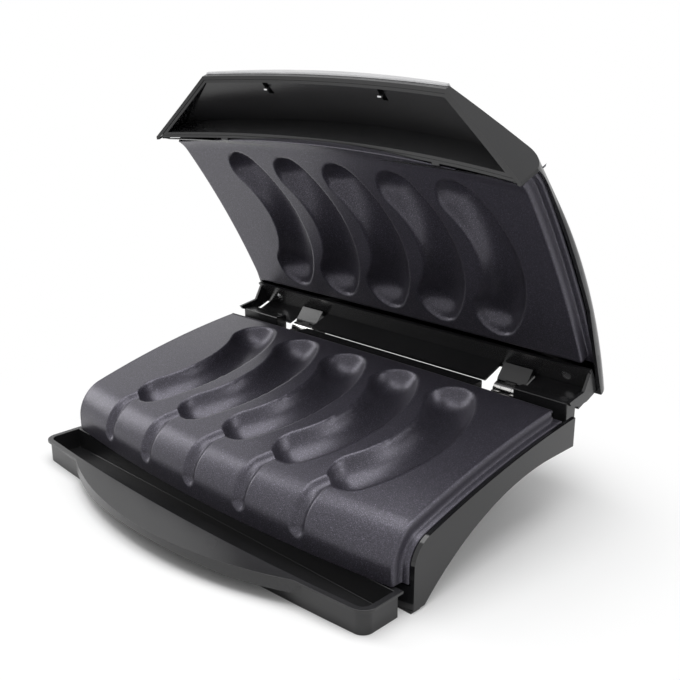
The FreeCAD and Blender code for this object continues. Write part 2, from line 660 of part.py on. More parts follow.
def lid_leaf(x):
    """Steel leaf behind the lid's rear wall, with the middle knuckle, which turns on the pin."""
    half, wall, rear = num("knuckle_half"), num("leaf_wall"), num("lid_rear")
    pin_z = num("hinge_height")
    leaf = yz_plate([(rear, pin_z), (rear + wall, pin_z), (rear + wall, num("rear_rim") + 12),
                     (rear, num("rear_rim") + 12)], x - half, x + half)
    tube = hinge_tube(num("knuckle_radius"), x - half, x + half)
    bore = hinge_tube(num("pin_radius + pin_fit"), x - half, x + half)
    return leaf.fuse(tube).cut(bore).removeSplitter()


def hinge_cover(x):
    """Plastic box over a hinge: closed in front, above and behind, open below for the leaf."""
    half, fit = num("cover_width/2") + 1, num("soft_gap")
    pin_y, pin_z, rear, rim = (num(n) for n in ("hinge_back", "hinge_height", "lid_rear", "rear_rim"))
    room = num("knuckle_radius") + 0.8
    outline = [(pin_y - 11, rim - 1.5), (pin_y - room, pin_z + room - 0.5), (pin_y - 1, pin_z + 1),
               (pin_y + room, pin_z - 2), (pin_y + room + 2, pin_z - 2),
               (pin_y + room + 2, rim + 6), (rear + fit, rim + 14), (rear + fit, rim - 2 * fit)]
    box = yz_plate(outline, x - half, x + half)
    box = box.cut(hinge_tube(room, x - num("cover_width/2"), x + num("cover_width/2")))
    leaf_room = Part.makeBox(2 * num("knuckle_half") + 2 * fit, num("leaf_wall") + 2 * fit, 40,
                             Vector(x - num("knuckle_half") - fit, rear - fit, pin_z))
    return box.cut(leaf_room).removeSplitter()


for side, x in (("left", -num("hinge_spread")), ("right", num("hinge_spread"))):
    finish(fixed_shape(f"{side}_base_hinge_leaf", base_leaf(x)))
    half_pin = num("pin_length/2")
    finish(fixed_shape(f"{side}_hinge_pin", hinge_tube(num("pin_radius"), x - half_pin + 0.3,
                                                       x + half_pin - 0.3)))
    finish(fixed_shape(f"{side}_lid_hinge_leaf", lid_leaf(x)), on_lid=True)
    finish(fixed_shape(f"{side}_hinge_cover", hinge_cover(x)), on_lid=True)


# ------------------------------------------------------------------ lid housing
class Dome:
    """The lid's outer form: a domed section swept along a circle, then straight to the visor."""

    def __init__(self):
        self.axis = Vector(0, num("lid_axis_back"), -num("lid_axis_drop"))
        self.radius = num("lid_radius + dome_rise")
        tip = Vector(0, -num("visor_front"), num("visor_height")) - self.axis
        self.run = math.sqrt(tip.Length ** 2 - self.radius ** 2)
        self.lean = math.acos(self.radius / tip.Length)
        self.tilt = math.atan2(-tip.y, tip.z) - self.lean

    def section(self, inset):
        """Upright cross-section at the top of the circle, moved in by a wall."""
        half, corner = num("body_width/2") - inset, num("dome_corner") - inset
        big = num("dome_radius") - inset
        top = self.radius - inset
        dome_z = top - big
        corner_x = half - corner
        corner_z = dome_z + math.sqrt((big - corner) ** 2 - corner_x ** 2)
        spread = math.atan2(corner_x, corner_z - dome_z)

        def at(x, z):
            return self.axis + Vector(x, 0, z)

        def join(sign):
            return at(sign * big * math.sin(spread), dome_z + big * math.cos(spread))

        def corner_mid(sign):
            turn = (spread + math.pi / 2) / 2
            return at(sign * (corner_x + corner * math.sin(turn)), corner_z + corner * math.cos(turn))

        low = 200.0
        edges = [Part.makeLine(at(-half, low), at(-half, corner_z)),
                 Part.Arc(at(-half, corner_z), corner_mid(-1), join(-1)).toShape(),
                 Part.Arc(join(-1), at(0, top), join(1)).toShape(),
                 Part.Arc(join(1), corner_mid(1), at(half, corner_z)).toShape(),
                 Part.makeLine(at(half, corner_z), at(half, low)),
                 Part.makeLine(at(half, low), at(-half, low))]
        return Part.Face(Part.Wire(edges))

    def plan(self, inset):
        """Outline of the lid from above, as a tall prism: the visor tapers to the front."""
        half, rear = num("body_width/2") - inset, num("lid_rear") - inset
        taper = math.atan2(num("visor_front - visor_kink"), num("body_width/2 - visor_half"))
        kink = num("visor_kink") - inset * math.tan((math.pi / 2 - taper) / 2)
        front = num("visor_front") - inset
        tip = half - (front - kink) / math.tan(taper)
        corners = [(half, rear), (half, -kink), (tip, -front), (-tip, -front), (-half, -kink),
                   (-half, rear)]
        points = [Vector(x, y, -20) for x, y in corners]
        return Part.Face(Part.makePolygon(points + points[:1])).extrude(Z_AXIS * 220)

    def solid(self, inset):
        face = self.section(inset)
        face.rotate(self.axis, X_AXIS, math.degrees(self.tilt))
        crown_part = face.revolve(self.axis, X_AXIS, -math.degrees(self.tilt) - 12)
        forward = Vector(0, -math.cos(self.tilt), -math.sin(self.tilt))
        visor = face.extrude(forward * (self.run + 20))
        return crown_part.fuse(visor).common(self.plan(inset))


dome = Dome()


def below_skirt(rise=0.0):
    """All that lies under the visor's arched lower edge, moved up by rise."""
    big = num("skirt_dome")
    back, front = -num("skirt_back"), -num("visor_front")
    z_back, z_front = num("skirt_height") + rise, num("visor_height - visor_lip") + rise
    slope = (z_front - z_back) / (front - back)
    half = 200.0
    drop = big - math.sqrt(big * big - half * half)
    y0, y1 = back + 6, front - 60

    def at(x, z):
        return Vector(x, y0, z_back + 6 * slope + z)

    edges = [Part.Arc(at(-half, -drop), at(0, 0), at(half, -drop)).toShape(),
             Part.makeLine(at(half, -drop), at(half, -200)),
             Part.makeLine(at(half, -200), at(-half, -200)),
             Part.makeLine(at(-half, -200), at(-half, -drop))]
    return Part.Face(Part.Wire(edges)).extrude(Vector(0, y1 - y0, slope * (y1 - y0)))


def below_rim():
    """All that lies under the rim of the lid's side and rear walls."""
    rim = crown.under(num("lid_rim"), floor=-60).common(
        slab(BIG, -num("skirt_back"), BIG, -BIG, num("rear_rim")))
    return rim


def lid_post_places():
    across = num("face_width/2") - 12
    return [(-across, -35), (across, -35), (-across, 52), (across, 52)]


def lid_shell():
    wall = num("lid_wall")
    shell = dome.solid(0).cut(dome.solid(wall))
    shell = shell.cut([below_rim(), below_skirt()])
    shell = shell.cut(slab(BIG, -BIG, BIG, -BIG, 20))
    tops = dome.solid(wall / 2)
    plate_back = num("plate_gap + plate_wall")
    posts = [Part.makeCylinder(4, 120, Vector(x, y, 0)).common(tops).cut(crown.under(plate_back))
             for x, y in lid_post_places()]
    cover_top = num("rear_rim") + 2.4
    posts += [Part.makeCylinder(4, 120, Vector(x, num("lid_screw_back"), cover_top)).common(tops)
              for x in (-num("lid_screw_side"), num("lid_screw_side"))]
    holes = [Part.makeCylinder(1.5, 12, Vector(x, num("lid_screw_back"), cover_top))
             for x in (-num("lid_screw_side"), num("lid_screw_side"))]
    return shell.fuse(posts).cut(holes).removeSplitter()


def lid_top_panel():
    """Brushed sheet over the middle of the lid, folded down over the visor's front edge."""
    sheet, film = num("panel_sheet"), num("panel_film")
    skin = dome.solid(-film - sheet).cut(dome.solid(-film))
    half = num("visor_half") - 1
    field = slab(half, -num("visor_front") - film - sheet, num("panel_rear_edge"))
    return skin.common(field).cut(below_skirt(3.0)).removeSplitter()


def tab_places():
    return [side * num("tab_side") - num("tab_shift") for side in (-1, 1)]


def handle_liner():
    """Inner skin of the visor: the finger recess, with two tab slots in its ceiling."""
    outer, wall = num("lid_wall + soft_gap"), num("liner_wall")
    back = -num("skirt_back + vent_depth")
    liner = dome.solid(outer).common(slab(BIG, -BIG, back))
    room = dome.solid(outer + wall).common(slab(BIG, -BIG, back - wall))
    liner = liner.cut([room, below_skirt(0.3)])
    slots = [Part.makeBox(5, 9, 60, Vector(x - 2.5, -num("visor_front") + 6, 50))
             for x in tab_places()]
    return liner.cut(slots).removeSplitter()


def panel_tabs():
    """The bent tabs that hold the top panel, seen through the liner's slots."""
    tabs = []
    for x in tab_places():
        stem = Part.makeBox(3, 1, 12, Vector(x - 1.5, -num("visor_front") + 10, 61))
        tabs.append(stem.common(dome.solid(num("lid_wall") + 0.1)))
    return Part.makeCompound(tabs)


def vent_strip():
    """The slotted bar between the finger recess and the lid plate."""
    depth = num("vent_depth")
    back, height = -num("skirt_back") + num("vent_lap"), num("vent_height")
    field = slab(flange_half - 2, back - depth - num("vent_lap") + 0.3, back)
    bar = field.common(below_skirt(height)).cut(below_skirt(0.5))
    bar = bar.cut(crown.under(num("plate_gap")))
    pitch, width = num("vent_pitch"), num("vent_slot_width")
    count = int(num("vent_slots"))
    y0 = back - depth - num("vent_lap") + 0.3 + num("vent_wall")
    y1 = back - num("vent_wall")
    slots = [Part.makeBox(width, y1 - y0, BIG, Vector((i - (count - 1) / 2) * pitch - width / 2, y0, 0))
             for i in range(count)]
    return bar.cut(slots).removeSplitter()


def lid_rear_cover():
    """Inner cover behind the lid plate, with a cheek at each end beside the bridge."""
    rim, wall = num("rear_rim"), num("cheek_wall")
    half = num("body_width/2 - lid_wall") - 0.4
    front, rear = num("face_rear + flange_reach") + 0.6, num("lid_rear - lid_wall") - 0.3
    sheet = yz_plate([(front, rim - 4.4), (rear, rim), (rear, rim + 2.2), (front, rim - 2.2)],
                     -half, half)
    cheek_line = [(num("panel_rear") - 2.5, 50.5), (num("panel_rear") + 0.7, 51.5),
                  (num("panel_rear") + 6.2, 58.5), (rear, 68), (rear, rim + 1), (front + 2, rim - 3),
                  (num("panel_rear") + 0.9, 67)]
    cheeks = [yz_plate(cheek_line, half - wall, half), yz_plate(cheek_line, -half, wall - half)]
    places = (-num("lid_screw_side"), num("lid_screw_side"))
    holes = [Part.makeCylinder(1.7, 20, Vector(x, num("lid_screw_back"), rim - 10)) for x in places]
    seats = [Part.makeCylinder(3.6, 10, Vector(x, num("lid_screw_back"), rim - 10)) for x in places]
    skirt = slab(num("ridge_half") - 1, rear - wall, rear, num("cover_skirt"), rim + 1)
    return sheet.fuse(cheeks + [skirt]).cut(holes + seats).removeSplitter()


finish(fixed_shape("lid_shell", lid_shell()), on_lid=True)
finish(fixed_shape("lid_top_panel", lid_top_panel()), on_lid=True)
finish(fixed_shape("handle_liner", handle_liner()), on_lid=True)
finish(fixed_shape("panel_tabs", panel_tabs()), on_lid=True)
finish(fixed_shape("vent_strip", vent_strip()), on_lid=True)
finish(fixed_shape("lid_rear_cover", lid_rear_cover()), on_lid=True)

lid_screws = []
for x in (-num("lid_screw_side"), num("lid_screw_side")):
    head = Part.makeCylinder(3.2, 1.6, Vector(x, num("lid_screw_back"), num("rear_rim") - 1.6))
    shank = Part.makeCylinder(1.5, 11, Vector(x, num("lid_screw_back"), num("rear_rim")))
    lid_screws.append(head.fuse(shank).removeSplitter())
finish(fixed_shape("lid_screws", Part.makeCompound(lid_screws)), on_lid=True)


# ------------------------------------------------------------------ drip tray
def tray_plan(inset, z0, z1):
    """Plan outline of the tray: straight behind, gently bowed in front, rounded corners."""
    half, rear = num("tray_width/2") - inset, -num("tray_rear") - inset
    bow = num("tray_bow")
    apex = -num("tray_front") + inset
    side_y = apex + bow - math.sqrt(bow * bow - half * half)
    edges = [Part.makeLine(Vector(half, rear, z0), Vector(-half, rear, z0)),
             Part.makeLine(Vector(-half, rear, z0), Vector(-half, side_y, z0)),
             Part.Arc(Vector(-half, side_y, z0), Vector(0, apex, z0), Vector(half, side_y, z0)).toShape(),
             Part.makeLine(Vector(half, side_y, z0), Vector(half, rear, z0))]
    prism = Part.Face(Part.Wire(edges)).extrude(Z_AXIS * (z1 - z0))
    upright = [e for e in prism.Edges if abs(e.BoundBox.ZLength - (z1 - z0)) < 1e-6
               and e.BoundBox.YMax < rear - 5]
    return prism.makeFillet(max(num("tray_corner") - inset, 1), upright)


def drip_tray():
    floor, wall, rim = num("tray_floor"), num("tray_wall"), num("tray_rim")
    top = floor + num("tray_height")
    tray = tray_plan(rim, floor, top).fuse(tray_plan(0, top - wall, top))
    reach, radius = num("pull_reach"), num("pull_radius")
    disc_y = -reach + radius
    skirt_floor = top - num("pull_skirt")
    lip = Part.makeCylinder(radius, num("pull_skirt"), Vector(0, disc_y, skirt_floor))
    inner = Part.makeCylinder(radius - wall, num("pull_skirt") - wall, Vector(0, disc_y, skirt_floor))
    ahead = slab(num("pull_radius"), -BIG, -num("tray_front") + 6)
    pull = lip.cut(inner).common(ahead)
    arch_drop = num("pull_skirt") - num("pull_arch")
    arch_half = num("pull_radius") * 0.33
    arch_r = (arch_half ** 2 + arch_drop ** 2) / (2 * arch_drop)
    arch = Part.makeCylinder(arch_r, BIG, Vector(0, -BIG / 2, skirt_floor + num("pull_arch") - arch_r),
                             Y_AXIS)
    pull = pull.cut(arch)
    tray = tray.fuse(pull).cut(tray_plan(rim + wall, floor + wall, top + 1))
    runners = [slab(num("runner_width/2"), -num("tray_rear") - 4, num("runner_reach - tray_rear"),
                    floor, floor + wall).translated(X_AXIS * x)
               for x in (-num("runner_pitch/2"), num("runner_pitch/2"))]
    runners = [r.cut(tray_plan(rim + wall, floor + wall, top + 1)) for r in runners]
    return tray.fuse(runners).removeSplitter()


finish(fixed_shape("drip_tray", drip_tray()))


# ------------------------------------------------------------------ checks and export
doc.recompute()
faults = [obj.Name for obj in doc.Objects if "Invalid" in obj.State or "Error" in obj.State]
for name in PART_NAMES:
    shape = doc.getObject(name).Shape
    if shape.isNull() or not shape.isValid() or shape.Volume <= 0:
        faults.append(name)
if faults:
    raise RuntimeError("failed: " + ", ".join(faults))

os.makedirs("parts", exist_ok=True)
for name in PART_NAMES:
    shape = doc.getObject(name).Shape
    shape.exportStep(f"parts/{name}.step")
    print(f"{name:26s} {len(shape.Solids):3d} solids {shape.Volume:12.1f} mm3")
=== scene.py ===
import json
import math

import bmesh
import bpy
import numpy as np
from mathutils import Euler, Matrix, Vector

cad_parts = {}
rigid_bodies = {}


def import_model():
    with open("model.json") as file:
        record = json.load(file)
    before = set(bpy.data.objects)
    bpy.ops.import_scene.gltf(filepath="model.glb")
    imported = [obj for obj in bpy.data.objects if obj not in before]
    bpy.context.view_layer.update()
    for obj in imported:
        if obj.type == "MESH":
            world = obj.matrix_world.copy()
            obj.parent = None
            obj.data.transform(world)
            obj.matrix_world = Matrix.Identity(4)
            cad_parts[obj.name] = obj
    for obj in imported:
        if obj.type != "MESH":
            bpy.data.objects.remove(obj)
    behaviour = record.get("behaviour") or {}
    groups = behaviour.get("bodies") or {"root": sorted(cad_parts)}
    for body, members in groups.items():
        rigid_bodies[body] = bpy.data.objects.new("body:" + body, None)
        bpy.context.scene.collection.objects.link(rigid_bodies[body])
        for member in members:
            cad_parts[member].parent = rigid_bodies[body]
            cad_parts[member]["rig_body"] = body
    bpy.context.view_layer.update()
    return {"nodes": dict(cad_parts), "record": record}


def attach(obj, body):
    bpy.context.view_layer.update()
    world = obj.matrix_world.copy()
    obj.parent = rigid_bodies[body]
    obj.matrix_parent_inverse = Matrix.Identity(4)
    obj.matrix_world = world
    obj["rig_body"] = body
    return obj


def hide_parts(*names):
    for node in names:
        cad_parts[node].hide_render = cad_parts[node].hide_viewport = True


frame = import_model()
NODES = frame["nodes"]
SLOTS = {part["node"]: part["material_slot"] for part in frame["record"]["subparts"]}
MM = 0.001

# ---------------------------------------------------------------- sizes, in millimetres
# As in the CAD, y is measured from the middle of the grilling face and the lid is drawn closed.
# placed() shifts the points into the frame and swings the lid's open.
SHIFT = 9.55
HINGE_Y, HINGE_Z = 102.2, 64.0
OPEN = math.radians(-69.3)

# The face's section: a straight foot, the nose's arc, then a shallow crown tangent to it.
NOSE_Y, NOSE_Z, NOSE_R = -58.2, 25.9, 24.5
TILT = math.radians(16.3)
CROWN_R = 690.0
CROWN_Y = NOSE_Y + math.sin(TILT) * (CROWN_R - NOSE_R)
CROWN_Z = NOSE_Z - math.cos(TILT) * (CROWN_R - NOSE_R)
CROWN_START = NOSE_Y - math.sin(TILT) * NOSE_R
FOOT_Z, FACE_REAR, HALF_FACE = 16.8, 72.0, 150.0
UPPER_NOSE = math.pi - 0.9
PLATE_GAP = 1.2

# Seen from above the front is bowed: the section turns about the point (0, TURN_Y).
BOW_R = 1125.0
TURN_Y = BOW_R + NOSE_Y - NOSE_R

# Each mould is half a bent tube whose centreline is an arc seen from above.
MOULD_PITCH, MOULD_R, MOULD_LIFT = 47.0, 16.5, 3.5
BEND_R, BEND_APEX = 76.0, 14.3
MOULD_FRONT, MOULD_REAR = -42.0, 49.0
MOULDS = [MOULD_PITCH * place for place in range(-2, 3)]
RIM_SOFT = 1.5

# A drip channel starts at each lower mould's front end and runs down over the nose.
CHANNEL_R, CHANNEL_DEPTH, CHANNEL_SHIFT = 5.2, 3.6, 9.0
CHANNEL_END_Z, CHANNEL_JOIN = 29.0, 21.0
CHANNEL_SOFT, JOIN_SOFT = 1.6, 0.8

# The plate's rounded edge and its flange: how far out, and the height against the face.
EDGE_INSET = 2.0
EDGE = [(-1.2, -0.05), (-0.6, -0.25), (-0.2, -0.7), (0, -1.4), (0, -4.5), (0.05, -6.9), (0.4, -7.35),
        (1.2, -7.5), (4.0, -7.5), (4.3, -7.8), (4.3, -9.7)]
UPPER_FRONT_EDGE = (1.4, 7.5, 9.7)

# How finely the faces are divided.
FOOT_ROWS, NOSE_ROWS, CROWN_ROWS, COLUMNS = 7, 33, 112, 261

# The rear cover's return edge behind a hinge block: y and z of its L-shaped section, and its ends.
LIP_SECTION = [(93.3, 81.5), (98.0, 81.5), (98.0, 62.0), (96.5, 62.0), (96.5, 80.0), (93.3, 80.0)]
LIP_INNER, LIP_OUTER = 110.6, 152.0


# ---------------------------------------------------------------- materials
def add(tree, kind, **values):
    """A new shader node, with inputs or properties set by name."""
    node = tree.nodes.new(kind)
    for key, value in values.items():
        name = key.replace("_", " ")
        if name in node.inputs:
            node.inputs[name].default_value = value
        else:
            setattr(node, key, value)
    return node


def new_material(name):
    mat = bpy.data.materials.new(name)
    mat.use_nodes = True
    return mat, mat.node_tree, mat.node_tree.nodes["Principled BSDF"]


def noise(tree, scale, detail=3.0, stretch=(1, 1, 1)):
    coord = add(tree, "ShaderNodeTexCoord")
    mapping = add(tree, "ShaderNodeMapping", Scale=stretch)
    tex = add(tree, "ShaderNodeTexNoise", Scale=scale, Detail=detail)
    tree.links.new(coord.outputs["Object"], mapping.inputs["Vector"])
    tree.links.new(mapping.outputs["Vector"], tex.inputs["Vector"])
    return tex.outputs["Fac"]


def ramp(tree, source, stops):
    """Colours along a value, each stop a place and a colour."""
    node = add(tree, "ShaderNodeValToRGB")
    elements = node.color_ramp.elements
    while len(elements) < len(stops):
        elements.new(0.5)
    for element, (place, colour) in zip(elements, stops):
        element.position = place
        element.color = (*colour, 1)
    tree.links.new(source, node.inputs["Fac"])
    return node.outputs["Color"]


def spread(tree, source, low, high):
    """A value of 0 to 1 stretched to run from low to high."""
    node = add(tree, "ShaderNodeMapRange", To_Min=low, To_Max=high)
    tree.links.new(source, node.inputs["Value"])
    return node.outputs["Result"]


def link_surface(tree, shader, colour, rough, height, strength, depth):
    """Links a material's varying colour, roughness and fine relief."""
    relief = add(tree, "ShaderNodeBump", Strength=strength, Distance=depth)
    tree.links.new(colour, shader.inputs["Base Color"])
    tree.links.new(rough, shader.inputs["Roughness"])
    tree.links.new(height, relief.inputs["Height"])
    tree.links.new(relief.outputs["Normal"], shader.inputs["Normal"])


def nonstick():
    """Dark coating with a fine violet metallic sparkle."""
    mat, tree, shader = new_material("nonstick_coating")
    fleck, cloud = noise(tree, 2600, 2), noise(tree, 30, 3)
    colour = ramp(tree, fleck, [(0.40, (0.034, 0.032, 0.041)), (0.60, (0.066, 0.062, 0.080)),
                                (0.74, (0.24, 0.22, 0.29))])
    rough = spread(tree, cloud, 0.30, 0.42)
    shader.inputs["Metallic"].default_value = 0.55
    shader.inputs["Coat Weight"].default_value = 0.12
    shader.inputs["Coat Roughness"].default_value = 0.25
    link_surface(tree, shader, colour, rough, fleck, 0.25, 0.00008)
    return mat


def moulded(name, colour, rough_low, rough_high, grain, depth):
    """Moulded plastic: its grain and slow changes of sheen set how glossy it looks."""
    mat, tree, shader = new_material(name)
    fine, slow = noise(tree, grain, 4), noise(tree, 22, 2)
    shade = ramp(tree, slow, [(0.35, tuple(c * 0.82 for c in colour)), (0.65, colour)])
    rough = spread(tree, slow, rough_low, rough_high)
    link_surface(tree, shader, shade, rough, fine, 0.3, depth)
    return mat


def brushed(name, colour, rough, stretch):
    """Metal with fine lines along the axis that stretch makes small."""
    mat, tree, shader = new_material(name)
    lines = noise(tree, 900, 4, stretch)
    shade = ramp(tree, lines, [(0.3, tuple(c * 0.8 for c in colour)), (0.7, colour)])
    width = spread(tree, lines, rough * 0.8, rough * 1.25)
    shader.inputs["Metallic"].default_value = 1.0
    link_surface(tree, shader, shade, width, lines, 0.15, 0.00005)
    return mat


MATERIALS = {
    "nonstick_casting": nonstick(),
    "gloss_black": moulded("gloss_black_plastic", (0.010, 0.010, 0.011), 0.07, 0.13, 400, 0.00002),
    "satin_black": moulded("satin_black_plastic", (0.016, 0.016, 0.017), 0.20, 0.30, 1800, 0.00006),
    "stainless_strip": brushed("brushed_stainless", (0.62, 0.62, 0.63), 0.26, (0.03, 1, 1)),
    "bright_steel": brushed("plated_steel", (0.66, 0.66, 0.67), 0.22, (1, 1, 0.2)),
    "hinge_steel": brushed("bright_hinge_steel", (0.72, 0.71, 0.70), 0.18, (0.2, 1, 1)),
    "element_sheath": brushed("element_sheath_steel", (0.24, 0.22, 0.20), 0.5, (0.1, 1, 1)),
    "black_rubber": moulded("black_rubber", (0.020, 0.020, 0.020), 0.70, 0.85, 900, 0.0001),
    "white_insulator": moulded("pale_insulator", (0.62, 0.60, 0.54), 0.50, 0.65, 700, 0.00008),
}
for node, obj in NODES.items():
    obj.data.materials.clear()
    obj.data.materials.append(MATERIALS[SLOTS[node]])


# ---------------------------------------------------------------- the crowned face and its moulds
def crown_height(y, lift, x):
    """Height at x and y of the crown, or of the surface that lies lift above it."""
    bow = BOW_R - np.sqrt(BOW_R ** 2 - x * x)
    return CROWN_Z + np.sqrt((CROWN_R + lift) ** 2 - (y - bow - CROWN_Y) ** 2)


def mould_field(x, y, lift):
    """Distance from the nearest mould's bent centreline, and that centreline's height."""
    best, height = np.full(x.shape, np.inf), np.zeros(x.shape)
    start, end = math.asin(MOULD_FRONT / BEND_R), math.asin(MOULD_REAR / BEND_R)
    for middle in MOULDS:
        centre = middle + BEND_APEX - BEND_R
        angle = np.clip(np.arctan2(y, x - centre), start, end)
        far = np.hypot(x - centre - BEND_R * np.cos(angle), y - BEND_R * np.sin(angle))
        front, rear = (crown_height(place, lift, middle) for place in (MOULD_FRONT, MOULD_REAR))
        slope = (rear - front) / (MOULD_REAR - MOULD_FRONT)
        near = far < best
        best = np.where(near, far, best)
        height = np.where(near, front + slope * (y - MOULD_FRONT), height)
    return best, height


def soft_min(a, b, k):
    """The lower of a and b, rounded where they meet."""
    h = np.clip(0.5 + 0.5 * (b - a) / k, 0, 1)
    return b * (1 - h) + a * h - k * h * (1 - h)


def tube_drop(far, radius):
    """Height of a tube's wall below its centreline; outside the tube it climbs steeply."""
    inside = np.sqrt(np.clip(radius ** 2 - far ** 2, 0, None))
    return np.where(far < radius, -inside, (far - radius) * 2.5)


def section_rows(upper):
    """The rows of the face's section, front to rear: foot heights, nose angles, crown shares."""
    foot = [] if upper else np.linspace(FOOT_Z, NOSE_Z, FOOT_ROWS + 1)[:-1]
    nose = np.linspace(UPPER_NOSE if upper else math.pi, math.pi / 2 + TILT, NOSE_ROWS + 1)[:-1]
    crown = np.linspace(0, 1, CROWN_ROWS)
    return [(kind, value) for kind, values in (("foot", foot), ("nose", nose), ("crown", crown))
            for value in values]


def face_point(kind, value, x, lift):
    """y and z of one row at each x, lift above the face, turned with the bow."""
    if kind == "foot":
        y_mid, z = NOSE_Y - NOSE_R - lift, np.full(x.shape, float(value))
    elif kind == "nose":
        y_mid = NOSE_Y + (NOSE_R + lift) * math.cos(value)
        z = NOSE_Z + (NOSE_R + lift) * math.sin(value)
    else:
        end = TURN_Y - np.sqrt((TURN_Y - FACE_REAR) ** 2 + x * x)
        on_crown = CROWN_START + value * (end - CROWN_START)
        lean = (on_crown - CROWN_Y) / CROWN_R
        y_mid = on_crown + lift * lean
        z = CROWN_Z + (CROWN_R + lift) * np.sqrt(1 - lean ** 2)
    return TURN_Y - np.sqrt((TURN_Y - y_mid) ** 2 - x * x), z


def channel_cut(kind, value, xs, cut):
    """y and z that the drip channels add to one row, where they are deeper than the mould's cut."""
    orbit = NOSE_R + CHANNEL_R - CHANNEL_DEPTH
    end = math.pi - math.asin((CHANNEL_END_Z - NOSE_Z) / orbit)
    angle = {"foot": math.pi, "nose": value, "crown": math.pi / 2 + TILT}[kind]
    past_end, shift = max(angle - end, 0.0) * orbit, CHANNEL_SHIFT
    if kind == "foot":
        past_end += NOSE_Z - value
    if kind == "crown":
        arc = value * (FACE_REAR - NOSE_Y)
        past_end = max(arc - CHANNEL_JOIN, 0.0)
        shift *= 1 - min(arc / CHANNEL_JOIN, 1.0)
    drop = np.zeros(xs.shape)
    for middle in MOULDS:
        far = np.hypot(xs - (middle - shift), past_end)
        drop = soft_min(drop, CHANNEL_R - CHANNEL_DEPTH + tube_drop(far, CHANNEL_R), CHANNEL_SOFT)
    extra = soft_min(drop, cut, JOIN_SOFT) - cut
    return extra * math.cos(angle), extra * math.sin(angle)


def face_rows(xs, edge_height, upper):
    """The face, row by row from the front: its section, its moulds and the lower one's channels."""
    sign, base_lift = (1.0, PLATE_GAP) if upper else (-1.0, 0.0)
    zero, on_face = np.zeros(xs.shape), edge_height == 0
    for kind, value in section_rows(upper):
        y, z = face_point(kind, value, xs, base_lift - sign * edge_height)
        base_y, base_z = face_point(kind, value, xs, zero + base_lift)
        far, centre = mould_field(xs, base_y, base_lift - sign * MOULD_LIFT)
        depth = sign * (base_z - centre) + tube_drop(far, MOULD_R)
        cut = np.where(on_face, soft_min(zero, depth, RIM_SOFT), 0)
        z = z - sign * cut
        if not upper:
            along, rise = channel_cut(kind, value, xs, cut)
            y, z = np.where(on_face, y + along, y), np.where(on_face, z + rise, z)
        yield np.stack([xs, y, z], axis=1)
    for out, height in EDGE:
        y = np.full(xs.shape, FACE_REAR + out)
        z = crown_height(y, 0, xs) + base_lift - sign * np.minimum(edge_height, height)
        yield np.stack([xs, y, z], axis=1)


# ---------------------------------------------------------------- pieces
def placed(points, on_lid):
    """Drawing points, in millimetres, to the frame's metres, with the lid's swung open."""
    out = np.array(points, dtype=float)
    if on_lid:
        y, z = out[:, 1] - HINGE_Y, out[:, 2] - HINGE_Z
        out[:, 1] = HINGE_Y + y * math.cos(OPEN) - z * math.sin(OPEN)
        out[:, 2] = HINGE_Z + y * math.sin(OPEN) + z * math.cos(OPEN)
    out[:, 1] -= SHIFT
    return out * MM


def add_object(name, data):
    obj = bpy.data.objects.new(name, data)
    bpy.context.scene.collection.objects.link(obj)
    return obj


def new_piece(name, points, faces, body, slot, smooth):
    """A piece from drawing points and faces, which rides on a body."""
    mesh = bpy.data.meshes.new(name)
    mesh.from_pydata(placed(points, body == "lid").tolist(), [], faces)
    mesh.polygons.foreach_set("use_smooth", [smooth] * len(mesh.polygons))
    mesh.update()
    mesh.materials.append(MATERIALS[slot])
    obj = add_object(name, mesh)
    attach(obj, body)
    return obj


def soft_edges(node, width):
    """A copy of a CAD node with its sharp edges rounded, which stands for the node."""
    source = NODES[node]
    mesh = source.data.copy()
    mesh.name = f"{node}_visual"
    work = bmesh.new()
    work.from_mesh(mesh)
    bmesh.ops.remove_doubles(work, verts=work.verts, dist=2e-6)
    bmesh.ops.dissolve_limit(work, angle_limit=math.radians(0.6), verts=work.verts, edges=work.edges)
    work.to_mesh(mesh)
    work.free()
    mesh.polygons.foreach_set("use_smooth", [True] * len(mesh.polygons))
    for layer in [a.name for a in mesh.attributes if a.name in ("sharp_edge", "custom_normal")]:
        mesh.attributes.remove(mesh.attributes[layer])
    obj = add_object(f"{node}_visual", mesh)
    bevel = obj.modifiers.new("rounding", "BEVEL")
    bevel.width = width * MM
    bevel.segments = 3
    bevel.limit_method = "ANGLE"
    bevel.angle_limit = math.radians(30)
    obj.modifiers.new("normals", "WEIGHTED_NORMAL")
    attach(obj, source["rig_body"])
    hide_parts(node)


def grill_face(level, body):
    """The smooth cast face with rounded mould rims, rounded edges and its flange."""
    upper = level == "upper"
    columns = [(-HALF_FACE - out, height) for out, height in reversed(EDGE)]
    columns += [(x, 0.0) for x in np.linspace(EDGE_INSET - HALF_FACE, HALF_FACE - EDGE_INSET, COLUMNS)]
    columns += [(HALF_FACE + out, height) for out, height in EDGE]
    rows = list(face_rows(*np.array(columns).T, upper))
    if upper:
        rows = [rows[0] + (0, 0, rise) for rise in reversed(UPPER_FRONT_EDGE)] + rows
    points = np.stack(rows)
    index = np.arange(points.shape[0] * points.shape[1]).reshape(points.shape[:2])
    quads = np.stack([index[:-1, :-1], index[:-1, 1:], index[1:, 1:], index[1:, :-1]], axis=-1)
    quads = quads.reshape(-1, 4)
    if upper:
        quads = quads[:, ::-1]
    face = new_piece(f"{level}_grill_face", points.reshape(-1, 3), quads.tolist(), body,
                     "nonstick_casting", True)
    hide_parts(f"{level}_grill_plate")


